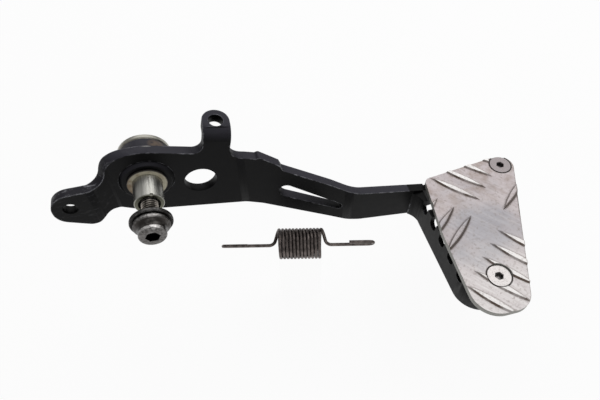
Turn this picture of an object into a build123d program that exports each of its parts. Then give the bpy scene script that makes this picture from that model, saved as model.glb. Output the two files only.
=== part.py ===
"""Rear brake pedal of a motorcycle, right-hand side, in millimetres.

X runs forward to the foot pad, Y inboard, Z up. The origin lies on the pivot axis,
in the outboard face of the lever plate.
"""
import os
from math import atan2, cos, degrees, radians, sin

from build123d import *

# Lever plate: one bent steel blank
plate_thickness = 5.0
ear_offset = 5.5
ear_bend_start_x = -25.5
ear_bend_end_x = -16.5
ear_near_bend_radius = 7.0
ear_far_bend_radius = 3.0
arm_bend_x = 46.0
pad_bend_x = 100.0
pedal_reach = 142.0
arm_offset = 15.2
arm_bend_radius = 15.0
ear_tip_x = -45.6
ear_top_z = 5.4
ear_blank_x = -30.0
ear_rise_radius = 6.5
shoulder_z = 18.8
shoulder_radius = 13.0
arm_end_top_z = -35.4
arm_seat = 4.0
arm_weld_run = 4.0
arm_weld_reach = 6.3
ear_hole_x = -37.0
ear_hole_z = -3.8
ear_hole_diameter = 7.0
light_hole_x = 25.0
light_hole_z = -7.5
light_hole_diameter = 16.2
window_start = 18.8
window_end = 52.5
window_corner_radius = 4.0
window_tip_radius = 1.9

# Folded tab on top of the plate
tab_x = 37.55
tab_lean = 12.0
tab_width = 13.2
tab_height = 22.5
tab_fold = 84.0
tab_fold_radius = 7.0
tab_rear_root_z = 10.8
tab_rear_root_radius = 4.5
tab_front_root_z = 3.4
tab_front_root_radius = 6.5
tab_hole_reach = 8.0
tab_hole_diameter = 7.0

# Pivot: boss, bushes, sleeve, bolt and washer on the Y axis
boss_diameter = 26.0
boss_front_y = -1.6
boss_back_y = 15.6
boss_chamfer = 1.4
weld_leg = 1.6
bush_wall = 1.5
bush_flange_diameter = 19.2
bush_flange_thickness = 1.1
bush_length = 6.0
inner_bush_proud = 0.2
sleeve_diameter = 14.0
sleeve_front_y = -15.2
sleeve_flange_diameter = 26.0
sleeve_flange_thickness = 2.8
sleeve_counterbore_diameter = 10.5
sleeve_counterbore_depth = 6.0
sleeve_notch_width = 1.4
sleeve_notch_depth = 1.0
sleeve_notch_turn = 20.0
sleeve_chamfer = 0.5
running_clearance = 0.05
side_clearance = 0.2
fitted_clearance = 0.02
bolt_diameter = 8.0
bolt_length = 40.0
bolt_clearance = 0.1
bolt_point_chamfer = 0.8
bolt_flange_diameter = 17.0
bolt_flange_thickness = 1.9
bolt_cone_height = 1.6
bolt_head_diameter = 13.0
bolt_head_height = 7.7
bolt_head_chamfer = 0.9
bolt_socket_size = 6.0
bolt_socket_depth = 4.5
washer_diameter = 19.8
washer_thickness = 2.1
washer_chamfer = 0.4
frame_plate_gap = 9.3

# Foot pad: toothed loop, tread plate and countersunk screws
tread_top_z = -33.0
tread_thickness = 3.0
rear_screw = (pedal_reach + 52.2, -10.1)
front_screw = (pedal_reach + 16.5, -76.5)
loop_height = 19.0
loop_wall = 2.5
tooth_pitch = 11.0
tooth_gap = 6.0
tooth_depth = 6.5
first_tooth_y = -25.2
side_tooth_count = 5
first_tooth_x = pedal_reach + 14.0
rear_tooth_count = 3
screw_boss_diameter = 11.0
screw_boss_height = 14.0
screw_diameter = 6.0
screw_head_diameter = 12.0
screw_length = 16.0
screw_clearance = 0.1
screw_spot_gap = 0.6
screw_spot_depth = 0.6
screw_socket_size = 4.0
screw_socket_depth = 2.2

# Raised bars of the tread plate
bar_length = 30.0
bar_width = 3.9
bar_height = 0.9
bar_pitch = 10.0
bar_slope_run = 0.8
bar_point_run = 3.0
rear_bar_count = 4
left_bar_count = 3
right_bar_count = 1
front_bar_count = 5

# Return spring, lying apart on the level of the pad's lower edge
wire_diameter = 1.85
coil_diameter = 17.0
coil_turns = 12
coil_gap = 0.06
spring_centre_x = 70.2
spring_centre_y = -24.9
spring_heading = -13.5
coil_end_turn = 52.4
wire_sides = 8
arm_drop = 0.9
hook_left_reach = 30.2
hook_right_reach = 28.1
hook_width = 6.5
hook_return = 13.3
left_hook_turn = 84.0
right_hook_turn = 74.0

os.makedirs("parts", exist_ok=True)


# Lever plate
# The plan path sets the bends of the blank and the side outline sets its edges.
tread_bottom_z = tread_top_z - tread_thickness
loop_bottom_z = tread_bottom_z - loop_height
arm_heading = atan2(-arm_offset, pad_bend_x - arm_bend_x)
arm_plane = Plane(
    origin=(arm_bend_x, 0, 0),
    x_dir=(cos(arm_heading), sin(arm_heading), 0),
    z_dir=(sin(arm_heading), -cos(arm_heading), 0),
)
lean = radians(tab_lean)
fold = radians(tab_fold)
tab_plane = Plane(
    origin=(tab_x, 0, tab_height),
    x_dir=(0, 1, 0),
    z_dir=(cos(lean), 0, -sin(lean)),
)
tab_hole_plane = Plane(
    origin=tab_plane.from_local_coords(
        Vector(tab_hole_reach * sin(fold), tab_hole_reach * cos(fold), 0)
    ),
    x_dir=tab_plane.z_dir,
    z_dir=tab_plane.x_dir * -cos(fold) + tab_plane.y_dir * sin(fold),
)
tab_end_reach = tab_hole_reach + tab_width / 2


def tab_side(across, z):
    """Point at height z on the line of a tab side, across its width from the middle."""
    x = tab_x + across / cos(lean) + (z - tab_height) * sin(lean) / cos(lean)
    return (x, z)


def tab_shoulder(across):
    """Point where a tab side ends below the fold."""
    drop = tab_fold_radius
    x = tab_x + across * cos(lean) - drop * sin(lean)
    z = tab_height - across * sin(lean) - drop * cos(lean)
    return (x, z)


half_tab = tab_width / 2
arm_end_x = pedal_reach + arm_seat
side_outline = [
    ((ear_tip_x, ear_top_z), 9.8),
    ((ear_blank_x, ear_top_z), 0.0),
    ((ear_blank_x, shoulder_z), 0.0),
    ((2.0, shoulder_z), 25.0),
    (tab_side(-half_tab, tab_rear_root_z), tab_rear_root_radius),
    (tab_shoulder(-half_tab), 0.0),
    (tab_shoulder(half_tab), 0.0),
    (tab_side(half_tab, tab_front_root_z), tab_front_root_radius),
    ((53.6, 2.2), 1.0),
    ((55.2, 3.3), 1.2),
    ((65.1, -2.9), 1.0),
    ((66.3, -6.3), 1.5),
    ((91.0, -17.8), 30.0),
    ((106.0, -26.3), 14.0),
    ((arm_end_x, arm_end_top_z), 0.0),
    ((arm_end_x, loop_bottom_z), 0.0),
    ((pedal_reach, loop_bottom_z), 0.0),
    ((107.5, -49.8), 14.0),
    ((92.0, -44.6), 20.0),
    ((55.0, -33.2), 12.0),
    ((44.5, -31.7), 25.0),
    ((4.0, -23.5), 50.0),
    ((-9.5, -20.0), 20.0),
    ((-21.0, -13.2), 4.0),
    ((-29.2, -19.2), 6.0),
    ((ear_tip_x, -10.8), 8.5),
]
window_outline = [
    ((window_start, -15.1), window_corner_radius),
    ((window_end, -33.3), window_tip_radius),
    ((window_end, -38.0), window_tip_radius),
    ((window_start, -25.9), window_corner_radius),
]
joggle_heading = atan2(ear_offset, ear_bend_end_x - ear_bend_start_x)
joggle_plane = Plane(
    origin=((ear_bend_start_x + ear_bend_end_x) / 2, -ear_offset / 2, 0),
    x_dir=(cos(joggle_heading), sin(joggle_heading), 0),
    z_dir=(sin(joggle_heading), -cos(joggle_heading), 0),
)
ear_run = 2 * (ear_bend_end_x - ear_tip_x)

with BuildPart() as lever_plate:
    with BuildSketch(Plane.XY.offset(loop_bottom_z - plate_thickness)):
        with BuildLine():
            FilletPolyline(
                (ear_tip_x - plate_thickness, -ear_offset),
                (ear_bend_start_x, -ear_offset),
                (ear_bend_end_x, 0),
                (arm_bend_x, 0),
                (pad_bend_x, -arm_offset),
                (arm_end_x, -arm_offset),
                radius=[
                    ear_near_bend_radius,
                    ear_far_bend_radius,
                    arm_bend_radius,
                    arm_bend_radius + plate_thickness,
                ],
            )
            offset(amount=plate_thickness, side=Side.LEFT)
        make_face()
    extrude(amount=tab_height + plate_thickness - loop_bottom_z)
    with BuildSketch(Plane.XZ):
        with BuildLine():
            FilletPolyline(
                *[point for point, _ in side_outline],
                radius=[radius for _, radius in side_outline],
                close=True,
            )
        make_face()
    extrude(amount=4 * arm_offset, both=True, mode=Mode.INTERSECT)
    # Rise from the ear to the shoulder, cut square to the joggle
    with BuildSketch(joggle_plane):
        with BuildLine():
            FilletPolyline(
                (-ear_run, ear_top_z),
                (2.2, ear_top_z),
                (7.9, shoulder_z),
                (2 * shoulder_z, shoulder_z),
                (2 * shoulder_z, 2 * shoulder_z),
                (-ear_run, 2 * shoulder_z),
                radius=[0, ear_rise_radius, shoulder_radius, 0, 0, 0],
                close=True,
            )
        make_face()
    extrude(amount=2 * ear_offset, both=True, mode=Mode.SUBTRACT)
    # Tab strip, folded inboard over the plate, with a round end
    with BuildSketch(tab_plane.offset(-half_tab)):
        with BuildLine():
            FilletPolyline(
                (0, -tab_fold_radius - plate_thickness / 2),
                (0, 0),
                (tab_end_reach * sin(fold), tab_end_reach * cos(fold)),
                radius=tab_fold_radius,
            )
            offset(amount=plate_thickness, side=Side.RIGHT)
        make_face()
    extrude(amount=tab_width)
    with BuildSketch(tab_hole_plane):
        Rectangle(2 * tab_width, tab_width, align=(Align.CENTER, Align.MIN))
        Circle(half_tab, mode=Mode.SUBTRACT)
        Circle(tab_hole_diameter / 2)
    extrude(amount=2 * plate_thickness, both=True, mode=Mode.SUBTRACT)
    # Pivot, clevis and lightening holes
    with BuildSketch(Plane.XZ):
        Circle(boss_diameter / 2 + fitted_clearance)
        with Locations((ear_hole_x, ear_hole_z)):
            Circle(ear_hole_diameter / 2)
        with Locations((light_hole_x, light_hole_z)):
            Circle(light_hole_diameter / 2)
    extrude(amount=4 * plate_thickness, both=True, mode=Mode.SUBTRACT)
    # Tapered window in the arm
    with BuildSketch(arm_plane):
        with BuildLine():
            FilletPolyline(
                *[point for point, _ in window_outline],
                radius=[radius for _, radius in window_outline],
                close=True,
            )
        make_face()
    extrude(amount=2 * plate_thickness, both=True, mode=Mode.SUBTRACT)

lever_plate.part.label = "lever_plate"
export_step(lever_plate.part, "parts/lever_plate.step")


# Pivot boss
# A tube through the plate, welded at the back, bored for two bushes.
bush_bore = sleeve_diameter / 2 + running_clearance
bush_outer = bush_bore + bush_wall
boss_bore = bush_outer + fitted_clearance
recess_depth = bush_flange_thickness - inner_bush_proud
recess_radius = bush_flange_diameter / 2 + fitted_clearance

with BuildPart() as pivot_boss:
    with BuildSketch(Plane.XY):
        with BuildLine():
            Polyline(
                (boss_bore, boss_front_y),
                (boss_diameter / 2, boss_front_y),
                (boss_diameter / 2, plate_thickness),
                (boss_diameter / 2 + weld_leg, plate_thickness),
                (boss_diameter / 2, plate_thickness + weld_leg),
                (boss_diameter / 2, boss_back_y),
                (recess_radius, boss_back_y),
                (recess_radius, boss_back_y - recess_depth),
                (boss_bore, boss_back_y - recess_depth),
                close=True,
            )
        make_face()
    revolve(axis=Axis.Y)
    rims = pivot_boss.edges().filter_by(GeomType.CIRCLE).group_by(SortBy.RADIUS)[-2]
    chamfer(rims.sort_by(Axis.Y)[0], boss_chamfer)

pivot_boss.part.label = "pivot_boss"
export_step(pivot_boss.part, "parts/pivot_boss.step")


# Bushes
# Two flanged plastic bushes run on the sleeve, one from each end of the boss.
def flanged_bush(flange_face_y, inward):
    """Closed section of a bush whose flange face is at a y, running along inward."""
    seat_y = flange_face_y + inward * bush_flange_thickness
    end_y = seat_y + inward * bush_length
    return [
        (bush_bore, flange_face_y),
        (bush_flange_diameter / 2, flange_face_y),
        (bush_flange_diameter / 2, seat_y),
        (bush_outer, seat_y),
        (bush_outer, end_y),
        (bush_bore, end_y),
    ]


with BuildPart() as outer_bush:
    with BuildSketch(Plane.XY):
        with BuildLine():
            Polyline(*flanged_bush(boss_front_y - bush_flange_thickness, 1), close=True)
        make_face()
    revolve(axis=Axis.Y)

outer_bush.part.label = "outer_bush"
export_step(outer_bush.part, "parts/outer_bush.step")

with BuildPart() as inner_bush:
    with BuildSketch(Plane.XY):
        with BuildLine():
            Polyline(*flanged_bush(boss_back_y + inner_bush_proud, -1), close=True)
        make_face()
    revolve(axis=Axis.Y)

inner_bush.part.label = "inner_bush"
export_step(inner_bush.part, "parts/inner_bush.step")


# Pivot sleeve
# A turned steel sleeve with a flange inboard, bored for the bolt and notched at its rim.
sleeve_radius = sleeve_diameter / 2
sleeve_flange_y = boss_back_y + inner_bush_proud + side_clearance
sleeve_back_y = sleeve_flange_y + sleeve_flange_thickness
bolt_bore = bolt_diameter / 2 + bolt_clearance
notch_turn = radians(sleeve_notch_turn)

with BuildPart() as pivot_sleeve:
    with BuildSketch(Plane.XY):
        with BuildLine():
            Polyline(
                (sleeve_counterbore_diameter / 2, sleeve_front_y),
                (sleeve_radius - sleeve_chamfer, sleeve_front_y),
                (sleeve_radius, sleeve_front_y + sleeve_chamfer),
                (sleeve_radius, sleeve_flange_y),
                (sleeve_flange_diameter / 2 - sleeve_chamfer, sleeve_flange_y),
                (sleeve_flange_diameter / 2, sleeve_flange_y + sleeve_chamfer),
                (sleeve_flange_diameter / 2, sleeve_back_y - sleeve_chamfer),
                (sleeve_flange_diameter / 2 - sleeve_chamfer, sleeve_back_y),
                (bolt_bore, sleeve_back_y),
                (bolt_bore, sleeve_front_y + sleeve_counterbore_depth),
                (sleeve_counterbore_diameter / 2, sleeve_front_y + sleeve_counterbore_depth),
                close=True,
            )
        make_face()
    revolve(axis=Axis.Y)
    with BuildSketch(Plane.XZ.offset(-sleeve_front_y)):
        with Locations((sleeve_radius * sin(notch_turn), sleeve_radius * cos(notch_turn))):
            Rectangle(sleeve_notch_width, 2 * sleeve_notch_depth, rotation=-sleeve_notch_turn)
    extrude(amount=-sleeve_notch_depth, mode=Mode.SUBTRACT)

pivot_sleeve.part.label = "pivot_sleeve"
export_step(pivot_sleeve.part, "parts/pivot_sleeve.step")


# Bolt washer and pivot bolt
# The gap between washer and sleeve takes the frame plate that carries the pedal.
washer_back_y = sleeve_front_y - frame_plate_gap
washer_front_y = washer_back_y - washer_thickness

with BuildPart() as bolt_washer:
    with BuildSketch(Plane.XZ.offset(-washer_back_y)):
        Circle(washer_diameter / 2)
        Circle(bolt_bore, mode=Mode.SUBTRACT)
    extrude(amount=washer_thickness)
    washer_rims = bolt_washer.edges().filter_by(GeomType.CIRCLE).group_by(SortBy.RADIUS)[-1]
    chamfer(washer_rims, washer_chamfer)

bolt_washer.part.label = "bolt_washer"
export_step(bolt_washer.part, "parts/bolt_washer.step")

bolt_face_y = washer_front_y - bolt_head_height
bolt_tip_y = washer_front_y + bolt_length
bolt_cone_y = washer_front_y - bolt_flange_thickness

with BuildPart() as pivot_bolt:
    with BuildSketch(Plane.XY):
        with BuildLine():
            Polyline(
                (0, bolt_tip_y),
                (bolt_diameter / 2 - bolt_point_chamfer, bolt_tip_y),
                (bolt_diameter / 2, bolt_tip_y - bolt_point_chamfer),
                (bolt_diameter / 2, washer_front_y),
                (bolt_flange_diameter / 2, washer_front_y),
                (bolt_flange_diameter / 2, bolt_cone_y),
                (bolt_head_diameter / 2, bolt_cone_y - bolt_cone_height),
                (bolt_head_diameter / 2, bolt_face_y + bolt_head_chamfer),
                (bolt_head_diameter / 2 - bolt_head_chamfer, bolt_face_y),
                (0, bolt_face_y),
                close=True,
            )
        make_face()
    revolve(axis=Axis.Y)
    with BuildSketch(Plane.XZ.offset(-bolt_face_y)):
        RegularPolygon(bolt_socket_size / 2, 6, major_radius=False)
    extrude(amount=-bolt_socket_depth, mode=Mode.SUBTRACT)

pivot_bolt.part.label = "pivot_bolt"
export_step(pivot_bolt.part, "parts/pivot_bolt.step")


# Pad bracket
# A steel strip bent to a loop, its upper rim cut into teeth, with two tapped bosses inside.
loop_outline = [
    ((pedal_reach, -11.4), 2.2),
    ((pedal_reach + 60.7, -4.2), 5.6),
    ((pedal_reach + 26.9, -83.6), 10.0),
    ((pedal_reach, -83.6), 14.0),
]
screw_places = [rear_screw, front_screw]
weld_start = (pedal_reach - arm_weld_run, -arm_offset)
weld_end = (pedal_reach, -arm_offset - arm_weld_reach)
weld_hollow = arm_weld_run + arm_weld_reach

with BuildPart() as pad_bracket:
    with BuildSketch(Plane.XY.offset(loop_bottom_z)):
        with BuildLine():
            FilletPolyline(
                *[point for point, _ in loop_outline],
                radius=[radius for _, radius in loop_outline],
                close=True,
            )
        make_face()
        offset(amount=-loop_wall, mode=Mode.SUBTRACT)
    extrude(amount=loop_height)
    # The strip's two ends are welded to the end of the arm
    with BuildSketch(Plane.XY.offset(loop_bottom_z)):
        with Locations((pedal_reach - loop_wall, -arm_offset)):
            Rectangle(arm_seat + loop_wall, arm_offset, align=(Align.MIN, Align.MIN))
    extrude(amount=loop_height, mode=Mode.SUBTRACT)
    with BuildSketch(Plane.XY.offset(loop_bottom_z)):
        with BuildLine():
            Line((pedal_reach, -arm_offset), weld_start)
            RadiusArc(weld_start, weld_end, weld_hollow)
            Line(weld_end, (pedal_reach, -arm_offset))
        make_face()
    extrude(amount=loop_height)
    with BuildSketch(Plane.YZ):
        for tooth in range(side_tooth_count):
            with Locations((first_tooth_y - tooth * tooth_pitch, tread_bottom_z)):
                SlotOverall(2 * tooth_depth, tooth_gap, rotation=90)
    extrude(amount=2 * pedal_reach, mode=Mode.SUBTRACT)
    with BuildSketch(Plane.XZ.offset(6 * loop_wall)):
        for tooth in range(rear_tooth_count):
            with Locations((first_tooth_x + tooth * tooth_pitch, tread_bottom_z)):
                SlotOverall(2 * tooth_depth, tooth_gap, rotation=90)
    extrude(amount=-6 * loop_wall, mode=Mode.SUBTRACT)
    with BuildSketch(Plane.XY.offset(tread_bottom_z)):
        with Locations(*screw_places):
            Circle(screw_boss_diameter / 2)
    extrude(amount=-screw_boss_height)
    with BuildSketch(Plane.XY.offset(tread_bottom_z)):
        with Locations(*screw_places):
            Circle(screw_diameter / 2 + screw_clearance)
    extrude(amount=-screw_boss_height, mode=Mode.SUBTRACT)

pad_bracket.part.label = "pad_bracket"
export_step(pad_bracket.part, "parts/pad_bracket.step")


# Tread plate
# Aluminium checker plate: lens-shaped bars stand in groups that turn against each other.
tread_outline = [
    ((pedal_reach + 5.3, -9.4), 3.5),
    ((pedal_reach + 63.9, -2.3), 7.3),
    ((pedal_reach + 23.9, -95.6), 11.0),
    ((pedal_reach - 2.6, -95.6), 13.0),
    ((pedal_reach - 0.2, -45.0), 60.0),
]
bar_groups = [
    ((pedal_reach + 29.0, -31.0), 133.0, 43.0, rear_bar_count),
    ((pedal_reach + 19.6, -39.2), 219.0, 129.0, left_bar_count),
    ((pedal_reach + 38.0, -40.3), 39.0, 129.0, right_bar_count),
    ((pedal_reach + 28.5, -51.3), -50.0, 220.0, front_bar_count),
]


def bar_points(tip, heading, step_heading, place, inset, point_inset):
    """Tip, side, tail and other side of one bar in a group, drawn in by the insets."""
    step = Vector(bar_pitch * place, 0, 0).rotate(Axis.Z, step_heading)
    middle = Vector(*tip) + step + Vector(bar_length / 2, 0, 0).rotate(Axis.Z, heading)
    run = Vector(bar_length / 2 - point_inset, 0, 0).rotate(Axis.Z, heading)
    bulge = Vector(0, bar_width / 2 - inset, 0).rotate(Axis.Z, heading)
    return middle - run, middle + bulge, middle + run, middle - bulge


with BuildPart() as tread_plate:
    with BuildSketch(Plane.XY.offset(tread_bottom_z)) as tread_face:
        with BuildLine():
            FilletPolyline(
                *[point for point, _ in tread_outline],
                radius=[radius for _, radius in tread_outline],
                close=True,
            )
        make_face()
    extrude(amount=tread_thickness)
    for tip, heading, step_heading, count in bar_groups:
        for place in range(count):
            group_place = (tip, heading, step_heading, place)
            foot = bar_points(*group_place, 0, 0)
            crown = bar_points(*group_place, bar_slope_run, bar_point_run)
            with BuildSketch(Plane.XY.offset(tread_top_z)):
                with BuildLine():
                    ThreePointArc(foot[0], foot[1], foot[2])
                    ThreePointArc(foot[2], foot[3], foot[0])
                make_face()
            with BuildSketch(Plane.XY.offset(tread_top_z + bar_height)):
                with BuildLine():
                    ThreePointArc(crown[0], crown[1], crown[2])
                    ThreePointArc(crown[2], crown[3], crown[0])
                make_face()
            loft(ruled=True)
    extrude(tread_face.sketch, amount=tread_thickness + 2 * bar_height, mode=Mode.INTERSECT)
    with BuildSketch(Plane.XY.offset(tread_top_z - screw_spot_depth)):
        with Locations(*screw_places):
            Circle(screw_head_diameter / 2 + screw_spot_gap)
    extrude(amount=screw_spot_depth + 2 * bar_height, mode=Mode.SUBTRACT)
    with Locations(*[(x, y, tread_top_z) for x, y in screw_places]):
        CounterSinkHole(
            screw_diameter / 2 + screw_clearance,
            screw_head_diameter / 2 + screw_clearance,
            counter_sink_angle=90,
        )

tread_plate.part.label = "tread_plate"
export_step(tread_plate.part, "parts/tread_plate.step")


# Pad screws
# Two countersunk socket screws, flush with the tread plate.
head_radius = screw_head_diameter / 2
shank_radius = screw_diameter / 2

with BuildPart() as pad_screws:
    for x, y in screw_places:
        screw_plane = Plane(origin=(x, y, tread_top_z), x_dir=(1, 0, 0), z_dir=(0, -1, 0))
        with BuildSketch(screw_plane):
            with BuildLine():
                Polyline(
                    (0, 0),
                    (head_radius, 0),
                    (shank_radius, shank_radius - head_radius),
                    (shank_radius, -screw_length),
                    (0, -screw_length),
                    close=True,
                )
            make_face()
        revolve(axis=Axis((x, y, 0), (0, 0, 1)))
        with BuildSketch(Plane.XY.offset(tread_top_z)):
            with Locations((x, y)):
                RegularPolygon(screw_socket_size / 2, 6, major_radius=False)
        extrude(amount=-screw_socket_depth, mode=Mode.SUBTRACT)

pad_screws.part.label = "pad_screws"
export_step(pad_screws.part, "parts/pad_screws.step")


# Return spring
# Close-wound tension spring of round wire with a long open hook at each end.
coil_radius = (coil_diameter - wire_diameter) / 2
coil_pitch = wire_diameter + coil_gap
coil_length = coil_pitch * coil_turns
spring_turn = radians(spring_heading)
spring_axis = Vector(cos(spring_turn), sin(spring_turn), 0)
spring_middle = Vector(spring_centre_x, spring_centre_y, loop_bottom_z + coil_diameter / 2)
end_turn = radians(coil_end_turn)
spring_plane = Plane(
    origin=spring_middle - spring_axis * (coil_length / 2),
    x_dir=(-sin(spring_turn) * sin(end_turn), cos(spring_turn) * sin(end_turn), cos(end_turn)),
    z_dir=spring_axis,
)
hook_bend = hook_width / 2 - wire_diameter / 4
wire_bend = 1.3 * wire_diameter


def hook_path(end, out, reach, hook_turn):
    """Corner points from one end of the coil to the tip of its hook."""
    wrap = Vector(0, out * 0.6 * coil_radius, out * coil_pitch / 4)
    arm_start = Vector(-arm_drop, 0, end.Z + out * 1.6 * wire_diameter)
    arm_end = Vector(-arm_drop, 0, end.Z + out * reach)
    across = Vector(hook_width, 0, 0).rotate(Axis.Z, hook_turn)
    hook_tip = arm_end + across - Vector(0, 0, out * hook_return)
    corners = [end, end + wrap, arm_start, arm_end, arm_end + across, hook_tip]
    return [spring_plane.from_local_coords(corner) for corner in corners]


with BuildPart() as return_spring:
    with BuildLine() as wire:
        add(Edge.make_helix(coil_pitch, coil_length, coil_radius).moved(spring_plane.location))
        bends = [wire_bend, wire_bend, hook_bend, hook_bend]
        coil_start = Vector(coil_radius, 0, 0)
        coil_end = Vector(coil_radius, 0, coil_length)
        FilletPolyline(*hook_path(coil_end, 1, hook_right_reach, right_hook_turn), radius=bends)
        FilletPolyline(*hook_path(coil_start, -1, hook_left_reach, left_hook_turn), radius=bends)
    spring_path = wire.wires()[0]
    with BuildSketch(Plane(origin=spring_path @ 0, z_dir=spring_path % 0)):
        RegularPolygon(wire_diameter / 2, wire_sides)
    sweep(path=spring_path)

return_spring.part.label = "return_spring"
export_step(return_spring.part, "parts/return_spring.step")
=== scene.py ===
"""A motorcycle's rear brake pedal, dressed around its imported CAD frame."""
from math import cos, pi, radians, sin, tan, tau

import bmesh
import bpy
from mathutils import Matrix, Vector


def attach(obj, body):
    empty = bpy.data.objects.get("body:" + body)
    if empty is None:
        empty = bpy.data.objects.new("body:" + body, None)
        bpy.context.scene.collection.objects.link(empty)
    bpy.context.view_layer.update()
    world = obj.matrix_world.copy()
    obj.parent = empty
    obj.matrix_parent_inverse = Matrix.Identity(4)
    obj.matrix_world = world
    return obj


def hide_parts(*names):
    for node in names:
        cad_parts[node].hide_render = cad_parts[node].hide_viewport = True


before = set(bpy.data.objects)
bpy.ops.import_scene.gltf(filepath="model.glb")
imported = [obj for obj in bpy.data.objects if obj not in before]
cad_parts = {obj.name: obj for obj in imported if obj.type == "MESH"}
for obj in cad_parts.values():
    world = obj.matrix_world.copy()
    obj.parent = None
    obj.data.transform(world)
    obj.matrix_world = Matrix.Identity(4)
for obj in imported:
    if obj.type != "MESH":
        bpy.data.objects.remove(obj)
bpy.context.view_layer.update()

# Lever plate
# One 5 mm steel blank, cut to outline, bent cold and coated satin black. The coat is
# rubbed grey along its edges, where a painted highlight is drawn too, and the ear is scuffed
# where the clevis works against it.
MM = 0.001
ABOUT_PIVOT = (1, 0, 1)  # leaves out the depth of a place, and keeps where it is about the pivot
FACTOR, UNDER, OVER = 0, 6, 7  # a colour Mix node's inputs, by number because their names repeat


def linear(hex_colour):
    """Linear RGBA of an sRGB hex colour."""
    levels = [int(hex_colour[i:i + 2], 16) / 255 for i in (1, 3, 5)]
    return [v / 12.92 if v <= 0.04045 else ((v + 0.055) / 1.055) ** 2.4 for v in levels] + [1.0]


def add(tree, kind, sockets=None, out=None, **settings):
    """Adds one shader node with its settings and links, and gives back one of its outputs.

    sockets holds the values of its inputs or the outputs that feed them, and out names the
    output, where that isn't the first in use.
    """
    node = tree.nodes.new("ShaderNode" + kind)
    for name, value in settings.items():
        setattr(node, name, value)
    for name, value in (sockets or {}).items():
        if isinstance(value, bpy.types.NodeSocket):
            tree.links.new(value, node.inputs[name])
        else:
            node.inputs[name].default_value = value
    return node.outputs[out] if out else next(o for o in node.outputs if o.enabled)


def finish_of(name):
    """A new material with its node tree, its Principled shader and its texture coordinates."""
    material = bpy.data.materials.new(name)
    material.use_nodes = True
    tree = material.node_tree
    return material, tree, tree.nodes["Principled BSDF"], add(tree, "TexCoord").node.outputs


def edges_of(tree, width_mm, start, full):
    """Share of a surface that lies on an edge, from how far its normal turns within a width."""
    rounded = add(tree, "Bevel", {"Radius": width_mm * MM}, samples=6)
    facing = add(tree, "NewGeometry", out="Normal")
    agreement = add(tree, "VectorMath", {0: rounded, 1: facing}, operation="DOT_PRODUCT")
    return add(tree, "MapRange", {"Value": agreement, "From Min": start, "From Max": full})


# Satin black coat on steel: near black in the face, a grey bloom of dust and painted top light
# on open tops, painted shade black in corners, thin light lines of wear and painted highlight
# along the edges, scuffs on the ear and a rusty scrape on the boss. The real scuffs and orange
# peel are finer, and are drawn as coarse as they need to show.
COAT_BLACK = "#080809"
COAT_DUST_AND_TOP_LIGHT = "#38373e"
COAT_CORNER_SHADE = "#040404"
COAT_RUB_AND_EDGE_HIGHLIGHT = "#96969c"
COAT_RUST = "#675a50"
COAT_CHALKED = "#e4e1db"
COAT_SPECULAR = 0.085
SHELTER_MM = 9.0
EDGE_RUB_AND_HIGHLIGHT_MM = 0.9
RUB_PATCH_MM = 3.5
SCUFF_MM = 1.7
SCUFF_DRAWN_OUT = (0.3, 1.0, 1.0)
SCUFF_ON_TOPS, SCUFF_ON_FACES = 0.85, 0.06
ORANGE_PEEL_MM, ORANGE_PEEL_DEEP_MM = 0.9, 0.05
EAR_FROM_MM, EAR_FULL_MM = -11.0, -20.0
EAR_RUB, EAR_DULLING = 0.45, 0.45
ARM_FROM_MM = 88.0
ARM_EDGE_HIGHLIGHT = 0.75
# Places that keep a plain coat, two holes and the arm's end: X, Z and radius.
PLAIN_PLACES_MM = ((25.0, -7.5, 8.1), (-37.0, -3.8, 3.5), (141.5, -36.0, 5.0))
PLAIN_TO_MM, MARKED_FROM_MM = 1.0, 1.6
# Rust on the boss and chalk on the edge above it: place, fading per mm each way, and colour.
COAT_SPOTS = (
    ((8.0, 12.4, 10.3), (0.19, 0.25, 0.19), COAT_RUST),
    ((6.6, 4.5, 18.7), (0.20, 1.70, 0.80), COAT_CHALKED),
)

coat, tree, skin, space = finish_of("satin_black_coat_on_steel")
# Open tops get a grey bloom of dust and painted top light; sheltered corners get painted shade.
openness = add(tree, "AmbientOcclusion", {"Distance": SHELTER_MM * MM}, "AO", samples=8)
clear = add(tree, "MapRange", {"Value": openness, "From Min": 0.60, "From Max": 0.95})
corner_shade = add(tree, "MapRange", {"Value": openness, "From Min": 0.85, "From Max": 0.35})
turned = add(tree, "SeparateXYZ", {0: space["Normal"]}).node.outputs
top = add(tree, "MapRange", {"Value": turned["Z"], "From Min": 0.15, "From Max": 0.95})
dust_and_top_light = add(tree, "Math", {0: top, 1: clear}, operation="MULTIPLY")
# Edges are rubbed in patches, those of the ear most, and carry a painted highlight; the arm's
# slanting bends carry a painted highlight all along.
edge = edges_of(tree, EDGE_RUB_AND_HIGHLIGHT_MM, start=0.975, full=0.90)
patches = add(
    tree, "TexNoise", {"Vector": space["Object"], "Scale": 1 / (RUB_PATCH_MM * MM), "Detail": 5.0}
)
patchy = add(tree, "MapRange", {"Value": patches, "From Min": 0.45, "From Max": 0.66})
along = add(tree, "SeparateXYZ", {0: space["Object"]}, "X")
ear = add(
    tree, "MapRange",
    {"Value": along, "From Min": EAR_FROM_MM * MM, "From Max": EAR_FULL_MM * MM},
)
patchy = add(tree, "Math", {0: ear, 1: EAR_RUB, 2: patchy}, operation="MULTIPLY_ADD")
rub_and_edge_highlight = add(tree, "Math", {0: edge, 1: patchy}, operation="MULTIPLY", use_clamp=True)
arm_edge_highlight = add(tree, "Math", {0: along, 1: ARM_FROM_MM * MM}, operation="GREATER_THAN")
sideways = add(tree, "Math", {0: turned["Y"]}, operation="ABSOLUTE")
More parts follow.
